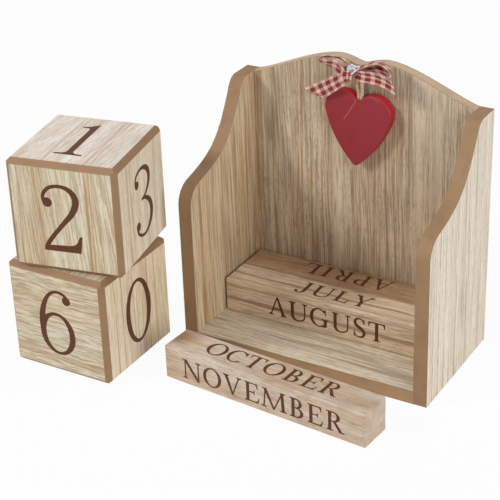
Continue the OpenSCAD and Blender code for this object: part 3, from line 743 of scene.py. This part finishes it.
# A turn of the whole stick, then for each side its word, the word's place and the gap of its letters
STICK_WORDS = {
    "rear": (180.0, {"front": ("JANUARY", 0, 0, 12), "top": ("APRIL", 1.8, -1.7, 16.5),
                     "back": ("MARCH", 0, 0, 12), "bottom": ("FEBRUARY", 0, 0, 12)}),
    "front": (0.0, {"front": ("AUGUST", 1.1, 0, 10.8), "top": ("JULY", 0.8, 0.7, 12.5),
                    "back": ("JUNE", 0, 0, 12), "bottom": ("MAY", 0, 0, 12)}),
    "loose": (LOOSE_TURN, {"front": ("NOVEMBER", -0.5, -0.4, 11.2), "top": ("OCTOBER", 0, 1.2, 11),
                           "back": ("SEPTEMBER", 0, 0, 8), "bottom": ("DECEMBER", 0, 0, 12)})}


def word_shape(word, gap):
    """The strokes of a word, centred on the origin, with this gap between its letters."""
    length = sum(LETTERS[c][0] for c in word) + gap * (len(word) - 1)
    pieces, start = [], -length / 2
    for c in word:
        width, strokes = LETTERS[c]
        pieces += [[p + Vector((start, -CAPITAL / 2)) for p in stroke] for stroke in strokes]
        start += width + gap
    return pieces


for stick, (turn, words) in STICK_WORDS.items():
    bm = bmesh.new()
    for face, (word, dx, dy, gap) in words.items():
        centre = middle(stick + "_month_stick")
        place = face_place(centre, *ROLL_WAYS[face], STICK_SIDE / 2, dx, dy, turn)
        add_print(bm, word_shape(word, gap), LETTER_SWELL, CAP_HEIGHT / CAPITAL, place)
    new_piece(stick + "_stick_words", bm, ink, stick + "_stick")

# %% [markdown]
# ## The heart
# The heart is sawn from a 6 mm board, sanded round at its edges and painted red. Its outline
# is two lobes, two long flanks and a small tip, all arcs that run into each other. The face is
# extruded to its thickness, and a bevel with a few segments rounds both rims.

# %% Heart shape
HEART_W, HEART_H, HEART_T = 40, 43, 6
LOBE_R, FLANK_R, TIP_R = 10.7, 62, 2
HEART_LEAN, HEART_ROUND = 2.5, 1.5
BALANCE = 0.57 * HEART_H
TIP_STEPS, FLANK_STEPS, LOBE_STEPS = 6, 14, 30


def arc(centre, r, start, end, count):
    turns = (radians(start + (end - start) * i / count) for i in range(count + 1))
    return [Vector(centre) + Vector((r * cos(t), r * sin(t))) for t in turns]


def bearing(a, b):
    """The direction from a to b, in degrees from 0 to 360."""
    return degrees(atan2(b.y - a.y, b.x - a.x)) % 360


lobe, tip = Vector((LOBE_R - HEART_W / 2, HEART_H - LOBE_R)), Vector((0, TIP_R))
far, near = FLANK_R - LOBE_R, FLANK_R - TIP_R
span = (lobe - tip).length
swing = acos((near ** 2 - far ** 2 - span ** 2) / (2 * far * span))
aim = atan2((lobe - tip).y, (lobe - tip).x) - swing
flank = lobe + far * Vector((cos(aim), sin(aim)))
notch = degrees(acos(-lobe.x / LOBE_R))
low_end, high_end = bearing(flank, tip), bearing(flank, lobe)
left_half = (arc(tip, TIP_R, 270, low_end, TIP_STEPS)
             + arc(flank, FLANK_R, low_end, high_end, FLANK_STEPS)[1:]
             + arc(lobe, LOBE_R, high_end, notch, LOBE_STEPS)[1:])
outline = left_half + [Vector((-p.x, p.y)) for p in reversed(left_half[1:-1])]

heart_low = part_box("heart")[0] / MM
nail_x = middle("hanging_nail").x
lean = Matrix.Rotation(radians(HEART_LEAN), 4, "Y")
bm = bmesh.new()
face = bm.faces.new([bm.verts.new((p.x, 0, p.y - BALANCE)) for p in outline])
thicken(bm, [face], (0, HEART_T, 0))
rims = [e for e in bm.edges if e.verts[0].co.y == e.verts[1].co.y]
bmesh.ops.bevel(bm, geom=rims, offset=HEART_ROUND, segments=5, profile=0.5, affect="EDGES", material=-1,
                clamp_overlap=True)
bmesh.ops.transform(bm, matrix=lean, verts=bm.verts)
bottom = min(v.co.z for v in bm.verts)
heart_centre = (nail_x, heart_low.y, heart_low.z - bottom)
bmesh.ops.transform(bm, matrix=Matrix.Scale(MM, 4) @ Matrix.Translation(heart_centre), verts=bm.verts)
print("heart outline of", len(outline), "points")

# %% [markdown]
# ## Red paint
# The paint is a semi-matt dark red over bare wood. The side walls are painted a brighter red
# as painted light, and the round rims brighter still, partly in pale specks, as a painted
# highlight. A few hairline scratches cross the face, and one more such band on the rim of the
# right lobe is a painted highlight. A scratch is the narrow band round a straight line between
# two points of the face.

# %% Red paint
paint, paint_shader, (x, y, z) = finish("red_paint", 0.42, heart_centre)
SCRATCH_END = 1.2
# Each scratch is its first point, its last point, half its width and its strength
# The third, on the rim of the right lobe, is a painted highlight drawn like a scratch.
SCRATCHES_AND_GLINT = (((-8.3, 1.4), (-0.3, 14.4), 0.13, 0.8), ((-3.0, 10.6), (-6.0, 4.4), 0.12, 0.4),
             ((9.4, 17.2), (14.0, 15.4), 0.16, 0.5), ((9.0, 2.0), (10.6, -0.8), 0.14, 0.3),
             ((-13.5, 0.5), (-11.8, -3.0), 0.12, 0.25), ((2.2, -6.4), (5.4, -9.2), 0.12, 0.2))
scratched_and_glint = 0.0
for (x0, z0), (x1, z1), wide, strength in SCRATCHES_AND_GLINT:
    length = hypot(x1 - x0, z1 - z0)
    ux, uz = (x1 - x0) / length, (z1 - z0) / length
    along = ux * (x - x0) + uz * (z - z0)
    beside = abs(uz * (x - x0) - ux * (z - z0))
    ends = along.step(0, SCRATCH_END) * along.fade(length - SCRATCH_END, length)
    scratched_and_glint = scratched_and_glint + strength * ends * beside.fade(wide * 0.4, wide)
brush = x.noise(0.5 * x, 0.3 * y, 3.0 * z, 3.0)
mottle = speckle((x, y, z), 0.18, detail=2.0)
red = (0.5 * mottle.step(0.4, 0.65)).over(rgb(143, 30, 42), rgb(134, 28, 39))
red = (0.25 * brush.step(0.5, 0.7)).over(red, rgb(164, 40, 50))
frontal = x.facing((0, -1, 0))
rim = frontal.step(0.45, 0.8) * frontal.fade(0.85, 0.99)
rim_highlight_specks = rim * speckle((x, y, z), 0.5).step(0.48, 0.68)
# Brighter red on the side walls: painted light.
red = (0.85 * frontal.fade(0.3, 0.75)).over(red, rgb(176, 22, 38))
# Brighter red on the round rims: a painted highlight.
red = (0.3 * rim).over(red, rgb(180, 34, 46))
# Pale red specks on the rims: more of the painted highlight.
red = (0.3 * rim_highlight_specks).over(red, rgb(200, 96, 88))
# The scratches, with the one painted highlight among them.
red = scratched_and_glint.over(red, rgb(214, 140, 136))
feed(paint_shader, red, 0.46 + 0.16 * mottle, brush - 2.0 * scratched_and_glint, 0.03)
heart = new_piece("painted_heart", bm, paint, "heart", smooth=True)
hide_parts("heart")

# %% [markdown]
# ## Sweeping a yarn
# Twine and thread are round, so both are a circle that is swept along a path. Each step
# extrudes the end cap, takes away the old one and turns the new one to the new direction. The
# first and last caps stay, so the tube is closed. Every point also keeps three numbers of its
# own: two across the yarn and the length along it. A material that reads them follows the yarn
# round every bend.

# %% Sweep
def sweep(bm, path, radius, sides=8):
    """Sweeps a circle along a path. Both are in millimetres."""
    yarn = bm.verts.layers.float_vector.get("yarn") or bm.verts.layers.float_vector.new("yarn")
    runs = headings(path)
    turn = Vector((0, 0, 1)).rotation_difference(runs[0])
    spots = []
    for before, way, p in zip(runs[:1] + runs, runs, path):
        turn = before.rotation_difference(way) @ turn
        spots.append(Matrix.LocRotScale(p * MM, turn, None))
    circle = bmesh.ops.create_circle(bm, cap_ends=True, segments=sides, radius=radius * MM,
                                     matrix=spots[0])
    cap, along = circle["verts"][0].link_faces[0], 0.0
    for i, spot in enumerate(spots):
        if i:
            grown = bmesh.ops.extrude_face_region(bm, geom=[cap])["geom"]
            if i > 1:
                bmesh.ops.delete(bm, geom=[cap], context="FACES_ONLY")
            cap = next(g for g in grown if isinstance(g, bmesh.types.BMFace))
            bmesh.ops.transform(bm, matrix=spot @ spots[i - 1].inverted(), verts=cap.verts)
            along += (path[i] - path[i - 1]).length
        for v in cap.verts:
            local = spot.inverted() @ v.co
            v[yarn] = (local.x / radius / MM, local.y / radius / MM, along)


def yarn_finish(name, tones, lay):
    """Fibres that wind round a yarn once in every lay millimetres."""
    light, dark = (shade(tone) for tone in tones)
    material, shader, (x, _, _) = finish(name, 0.85)
    own = x.add("Attribute", None, "Vector", attribute_name="yarn")
    along, = own.parts("Z")
    angle = (tau / lay) * along
    wound = x.add("VectorRotate", {"Vector": own, "Angle": angle}, rotation_type="Z_AXIS")
    u, v = wound.parts("XY")
    fibre = x.noise(3.0 * u, 3.0 * v, 0.35 * along, 3.0)
    slub = x.noise(0.5 * u, 0.5 * v, 0.4 * along, 2.0)
    colour = fibre.step(0.35, 0.62).over(dark, light)
    colour = (0.35 * slub.step(0.5, 0.75)).over(colour, dark)
    feed(shader, colour, None, fibre, 0.15)
    shader.inputs["Sheen Weight"].default_value = 0.25
    return material

# %% [markdown]
# ## Twine
# The heart hangs on a loop of jute twine. Twine is two plies laid round each other, so each
# ply is a helix round the loop's own line: up from the heart, over the nail and down again.

# %% Twine
PLY_R, PLY_OFFSET, TWINE_LAY, FIBRE_LAY = 0.62, 0.54, 4.4, 3.2
JUTE_TONES = ((238, 220, 188), (184, 154, 116))
OVER_NAIL_R, ARC_STEPS, LINE_STEPS = 2.0, 6, 14
BACKWARDS = Vector((0, 1, 0))
nail = Vector((nail_x, heart_centre[1] + HEART_T / 2, middle("hanging_nail").z))
over_nail = arc((0, 0), OVER_NAIL_R, 180, 0, ARC_STEPS)
loop = [(-0.77, -22.7), (-0.34, -12.8), (-0.9, -9.6), (-1.3, -6.4), *over_nail, (1.6, -4.8), (1.6, -8),
        (1.7, -12.8), (1.33, -22.7)]
line = flow([nail + Vector((px, 0, pz)) for px, pz in loop], LINE_STEPS)
bm = bmesh.new()
for start in (0.0, pi):
    ply, along = [], 0.0
    for before, p, way in zip(line[:1] + line, line, headings(line)):
        side = way.normalized().cross(BACKWARDS)
        along += (p - before).length
        phase = start + tau * along / TWINE_LAY
        ply.append(p + PLY_OFFSET * (cos(phase) * side + sin(phase) * BACKWARDS))
    sweep(bm, ply, PLY_R)
jute = yarn_finish("jute", JUTE_TONES, FIBRE_LAY)
twine = new_piece("jute_twine", bm, jute, "heart", smooth=True)
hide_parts("twine_loop")

# %% [markdown]
# ## The gingham bow
# The bow is one length of 10 mm ribbon: two tails, two loops and a turn round the middle. Each
# part is a flat grid laid between two rails, the edges of the ribbon. Ribbon does not stretch,
# so where the rails run closer together than its width it has to rise between them, in one
# round fold in the loops and in several small pleats where the thread gathers it.

# %% Ribbon rails
RIBBON_W, RIBBON_T, THREADS_ACROSS = 10.0, 0.25, 14
# Every row runs across the ribbon: x, y, z on one edge, then x, y, z on the other
RAILS = {
    "left_tail": (
        (-2.2, 20.5, 155.5, -0.6, 20.5, 150.5), (-5.3, 21, 154.7, -2.5, 21, 148.3),
        (-9.7, 21.8, 152.2, -5.9, 21.8, 145.4), (-15, 22.6, 148.9, -9.6, 22.6, 142.5),
        (-20.3, 23.2, 145.7, -12.9, 23.2, 139.9), (-25.6, 23.8, 142.5, -15.6, 23.8, 137.8),
        (-31.2, 24.4, 139.3, -18.1, 24.4, 135.9)),
    "right_tail": (
        (0.5, 20, 157.2, 0.5, 20, 153.2), (4, 18.8, 157.9, 3.6, 18.8, 152.6),
        (7.4, 18, 158.2, 6.8, 18.1, 152), (11.2, 17.4, 158.6, 10.6, 17.6, 152.1),
        (14.9, 17.2, 158.7, 15, 17.4, 152.3), (18.6, 17.2, 158.3, 18.8, 17.4, 151.8),
        (21.6, 17.3, 157.6, 22.3, 17.5, 150.7), (23.6, 17.5, 156.7, 25, 17.7, 149.5),
        (25.2, 17.8, 155.6, 27.7, 18, 148.2)),
    "left_loop": (
        (-1.2, 20.5, 157.9, -3.1, 24, 155.9), (-1.9, 19, 161.8, -5.2, 24.6, 158.9),
        (-4.1, 18.2, 163.7, -8, 25, 160.1), (-7.7, 17.8, 164.3, -11.4, 25, 160.5),
        (-11.6, 17.6, 164, -15.2, 24.9, 160.1), (-14.8, 17.6, 163.4, -18.6, 24.6, 159.6),
        (-16.7, 18, 162.2, -20.2, 24.2, 158.5), (-16.6, 18.4, 161, -20, 23.8, 157),
        (-13.1, 18.6, 161.1, -16, 23.4, 156.4), (-9.2, 18.8, 161.6, -12.3, 23.2, 154.7),
        (-6.3, 19, 161, -9.5, 22.8, 153.3), (-4.5, 19.4, 158.8, -6.8, 22.4, 152.6),
        (-3.2, 20, 156.7, -4.2, 22, 152.6)),
    "right_loop": (
        (0.1, 23.2, 156.4, 0.5, 20.4, 155.8), (3.7, 24, 157.6, 3.5, 19.4, 157),
        (6.2, 24.9, 159.4, 7.8, 18.6, 159.6), (9.5, 25.4, 161.2, 12.2, 17.8, 162.2),
        (13.1, 25.5, 162.6, 16.2, 17.2, 163.9), (16, 25.5, 162.6, 19.4, 17, 163.8),
        (19, 25.2, 161.2, 22.2, 17, 162.4), (21.4, 24.8, 159.4, 24.5, 17, 160.2),
        (21.4, 24.6, 158.4, 25, 17.2, 158), (18.2, 24.6, 159.6, 22, 17.6, 157.5),
        (14.5, 24.6, 160.4, 18.2, 17.8, 158.1), (10.4, 24.2, 159.4, 13.2, 18.2, 158.2),
        (5.6, 23, 157.4, 7.2, 19.4, 156.9), (2.6, 22, 156, 3, 20.6, 155.4)),
    "knot": (
        (-4, 24.6, 156.6, -0.5, 24.6, 157.4), (-4.3, 22.2, 157.4, 0.6, 21.8, 158.2),
        (-4.3, 19.4, 157, 1.8, 18.8, 157.9), (-4.4, 17.4, 155.6, 2.6, 17, 156.6),
        (-4.2, 16.6, 153.6, 2.8, 16.2, 154.6), (-3.6, 16.8, 151.4, 2.2, 16.6, 152.2),
        (-2.9, 18.4, 149.5, 1, 18.2, 150), (-2.8, 21.6, 148.2, -0.4, 21.6, 148.2),
        (-3.4, 24.4, 147.8, -1.2, 24.4, 147.6))}
# How far and to which side a strip bulges, and the share of pleats at its first and last end
FOLDS = {"left_tail": (-0.5, 0.9, 0.1), "right_tail": (-0.6, 0.9, 0.1), "left_loop": (0.4, 0.8, 0.8),
         "right_loop": (0.3, 0.8, 0.8), "knot": (1.0, 0.5, 0.5)}
PLEAT_REACH, RAIL_STEPS, FOLD_SHARE = 7.0, 6, 0.6
EDGES = (slice(0, 3), slice(3, 6))


def lay_ribbon(bm, strip, start):
    """Lays one strip between its rails. Returns its length along the middle in millimetres."""
    rail_a, rail_b = (flow([row[edge] for row in RAILS[strip]], RAIL_STEPS) for edge in EDGES)
    runs = [a + b for a, b in zip(headings(rail_a), headings(rail_b))]
    bulge, pleats_first, pleats_last = FOLDS[strip]
    rows = len(rail_a) - 1
    reach = [[0.0], [0.0]]
    for row in range(rows):
        for side, rail in enumerate((rail_a, rail_b)):
            reach[side].append(reach[side][row] + (rail[row + 1] - rail[row]).length)
    length = (reach[0][-1] + reach[1][-1]) / 2
    weave = bm.loops.layers.uv.get("weave") or bm.loops.layers.uv.new("weave")
    grid = bmesh.ops.create_grid(bm, x_segments=THREADS_ACROSS, y_segments=rows, size=0.5)["verts"]
    place = {v: (v.co.x + 0.5, round((v.co.y + 0.5) * rows)) for v in grid}
    for face in {f for v in grid for f in v.link_faces}:
        for corner in face.loops:
            u, row = place[corner.vert]
            corner[weave].uv = (u * RIBBON_W, start + reach[0][row] * (1 - u) + reach[1][row] * u)
    for v, (u, row) in place.items():
        a, b = rail_a[row], rail_b[row]
        chord = (b - a).length
        spare = max(0.0, RIBBON_W - chord)
        out = (b - a).cross(runs[row]).normalized()
        s = (reach[0][row] + reach[1][row]) / 2
        pleats = max(pleats_first * max(0, 1 - s / PLEAT_REACH),
                     pleats_last * max(0, 1 - (length - s) / PLEAT_REACH))
        round_fold = bulge * (2 / pi) * sqrt(chord * spare * (1 - pleats)) * sin(pi * u)
        pleat = (2 / (3 * pi)) * sqrt(chord * spare * pleats) * sin(3 * pi * u)
        v.co = (a.lerp(b, u) + out * (FOLD_SHARE * round_fold + pleat)) * MM
    return length

# %% [markdown]
# ## Gingham
# Gingham is a plain weave: red and cream yarns lie side by side in equal stripes, both along
# the ribbon and across it. The finish does just that. A checker a third of a millimetre wide
# says which yarn is on top, and the stripes say what colour it has. Ribbon is thin enough for
# light to come through, which a little subsurface scattering gives.

# %% Gingham
gingham, gingham_shader, (x, _, _) = finish("gingham", 0.85)
u, v = x.add("UVMap", uv_map="weave").parts("XY")
YARN, STRIPE_U, STRIPE_V = 0.34, 4.4, 6.2


def stripes(wire, period, shift):
    place = ((1 / period) * wire + shift).maths("FRACT")
    return place.step(0.40, 0.45) * place.fade(0.97, 1.0)


warp_red, weft_red = stripes(u, STRIPE_U, 0.08), stripes(v, STRIPE_V, 0.3)
cell = x.add("CombineXYZ", {0: (1 / YARN) * u, 1: (1 / YARN) * v, 2: 0.5})
on_top = x.add("TexChecker", {"Vector": cell, "Scale": 1.0}, "Fac")
red_here = 0.74 * (on_top * warp_red + (1 - on_top) * weft_red) + 0.26 * (warp_red + weft_red)
patchy = x.noise(0.5 * u, 0.35 * v, 0.0, 3.0)
cream = (0.5 * patchy).over(rgb(230, 212, 196), rgb(212, 188, 172))
red_yarn = (0.6 * patchy).over(rgb(120, 10, 26), rgb(144, 20, 36))
red_yarn = (warp_red * weft_red).over(rgb(178, 44, 54), red_yarn)
yarn_round = ((pi / YARN) * u).maths("SINE") * ((pi / YARN) * v).maths("SINE")
feed(gingham_shader, red_here.over(cream, red_yarn), None, abs(yarn_round), 0.12)
THIN_CLOTH = {"Sheen Weight": 0.2, "Subsurface Weight": 0.5, "Subsurface Scale": 1.2 * MM,
              "Subsurface Radius": (1.0, 0.3, 0.25)}
for name, value in THIN_CLOTH.items():
    gingham_shader.inputs[name].default_value = value

bm = bmesh.new()
ribbon_length = 0.0
for strip in RAILS:
    ribbon_length += lay_ribbon(bm, strip, ribbon_length)
ribbon = new_piece("gingham_ribbon", bm, gingham, "stand", smooth=True)
thick = ribbon.modifiers.new("cloth", "SOLIDIFY")
thick.thickness, thick.offset = RIBBON_T * MM, 0.0
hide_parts("ribbon_bow")
print("ribbon", round(ribbon_length), "mm long")

# %% [markdown]
# ## The white thread
# A few turns of white cotton bind the bow's waist to the nail, and its curled ends lie in a
# small tuft on top. It is swept like the twine.

# %% Thread
THREAD_R, THREAD_SIDES, TURNS, TURN_STEPS, CURL_STEPS = 0.36, 7, 4, 20, 8
COTTON_TONES = ((244, 244, 240), (212, 212, 210))
WAIST = Vector((-0.9, 22, 156))
binding = []
for i in range(TURNS * TURN_STEPS + 1):
    t = i / (TURNS * TURN_STEPS)
    angle = tau * TURNS * t
    binding.append(WAIST + Vector((2.6 * t, 2.5 * cos(angle), 2.4 * sin(angle))))
CURLS = (
    ((-2, 21.5, 157.8), (-0.8, 20, 159.2), (1, 19.2, 159.5), (3, 18.8, 160.2), (4.8, 18.8, 160.1),
     (5.4, 19.2, 159.1), (4.4, 19, 158.2), (2.4, 18.4, 158)),
    ((-2, 20.4, 157), (-0.2, 18.8, 157.9), (1.8, 18, 158.7), (3.6, 17.8, 159.1), (4.6, 17.8, 158.3),
     (3.4, 17, 157.1), (2.6, 16.6, 156.2)),
    ((-1, 22, 158.8), (0.6, 20.4, 160.1), (2.2, 19.8, 160.1), (3.2, 19.4, 159.5),
     (2.4, 18.8, 158.8), (0.8, 18.8, 158.3), (-0.6, 19.4, 158.5), (-1.6, 20.4, 158)),
    ((3.2, 19.2, 159.2), (4.6, 18.9, 159.9), (5.9, 18.6, 160.6), (6.5, 18.4, 160.1)))
bm = bmesh.new()
sweep(bm, binding, THREAD_R, THREAD_SIDES)
for curl in CURLS:
    sweep(bm, flow(curl, CURL_STEPS), THREAD_R, THREAD_SIDES)
cotton = yarn_finish("white_cotton", COTTON_TONES, 1.2)
thread = new_piece("cotton_thread", bm, cotton, "stand", smooth=True)
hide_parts("bow_thread")

# %% [markdown]
# ## The nail
# The nail keeps its CAD shape. Plain steel wire is a grey metal with fine drawn lines, and
# handling leaves it a little uneven in its shine.

# %% Nail
steel, steel_shader, (x, y, z) = finish("nail_steel", 0.35, (nail_x, 0, nail.z))
drawn = x.noise(6.0 * x, 0.4 * y, 6.0 * z, 3.0)
feed(steel_shader, (0.5 * drawn).over(rgb(186, 186, 182), rgb(146, 144, 140)), 0.28 + 0.2 * drawn)
steel_shader.inputs["Metallic"].default_value = 1.0
dress("hanging_nail", steel)
print("the nail is steel")

# %% [markdown]
# ## Lamps, floor and background
# Small wares are lit with soft boxes. The key from the left and front is the smallest, and
# throws the soft shadow to the right of the heart. Two larger ones from the right light the
# sides, one lies overhead, and the pale surroundings fill the shadows.
# The floor and the world show white to the camera and to reflections only, through the Light
# Path node, so that the white adds no light to the wood.

# %% Lamps
AIM = Vector((0, 0, 0.07))
ROOM_LIGHT = 0.18
# Each soft box is its place and its width in metres, and its power in watts
SOFTBOXES = {"key_left": ((-1.36, -1.4, 1.36), 0.5, 25.8), "fill_right": ((2.45, -0.75, 0.75), 1.6, 31),
             "front_right": ((1.65, -1.75, 1.05), 1.2, 9), "top": ((0.0, 0.1, 2.2), 1.2, 11.4)}
for name, (place, size, watts) in SOFTBOXES.items():
    lamp = bpy.data.lights.new(name, "AREA")
    lamp.shape, lamp.size, lamp.energy = "DISK", size, watts
    set_up(add_object(name, lamp), place, AIM - Vector(place))
print(len(SOFTBOXES), "soft boxes")


def seen_directly(wire):
    """1 for camera, glossy and transmission rays, and 0 for the light that falls on things."""
    seen, *others = (wire.add("LightPath", None, f"Is {kind} Ray")
                     for kind in ("Camera", "Glossy", "Transmission"))
    for other in others:
        seen = seen.maths("MAXIMUM", other)
    return seen


world = bpy.data.worlds.new("studio")
scene.world = world
world.use_nodes = True
room = Wire(world.node_tree)
dim = room.add("Background", {"Color": (1.0, 0.98, 0.95, 1.0), "Strength": ROOM_LIGHT})
white = room.add("Background", {"Color": (1, 1, 1, 1), "Strength": 1.0})
shown = room.add("MixShader", {0: seen_directly(room), 1: dim, 2: white})
world.node_tree.links.new(shown.socket, world.node_tree.nodes["World Output"].inputs["Surface"])

# %% Floor
FLOOR_SIZE, FLOOR_DROP, FLOOR_WHITE = 6.0, 0.00005, 0.94
bm = bmesh.new()
bmesh.ops.create_grid(bm, x_segments=1, y_segments=1, size=FLOOR_SIZE / 2)
bmesh.ops.translate(bm, verts=bm.verts, vec=(0, 0, -FLOOR_DROP))
mesh = bpy.data.meshes.new("floor")
bm.to_mesh(mesh)
bm.free()
floor = add_object("floor", mesh)
paper = bpy.data.materials.new("floor_paper")
paper.use_nodes = True
sheet = Wire(paper.node_tree)
matt = sheet.add("BsdfDiffuse", {"Color": (0.86, 0.86, 0.85, 1.0)})
bright = sheet.add("Emission", {"Color": (1, 1, 1, 1), "Strength": 1.0})
shown = sheet.add("MixShader", {0: FLOOR_WHITE * seen_directly(sheet), 1: matt, 2: bright})
paper.node_tree.links.new(shown.socket, paper.node_tree.nodes["Material Output"].inputs["Surface"])
mesh.materials.append(paper)

scene.view_settings.view_transform = "Standard"
print("floor", FLOOR_SIZE, "m wide")

# %% [markdown]
# ## The end
# The last cell prints a closing line.

# %% The end
print("the scene is built")
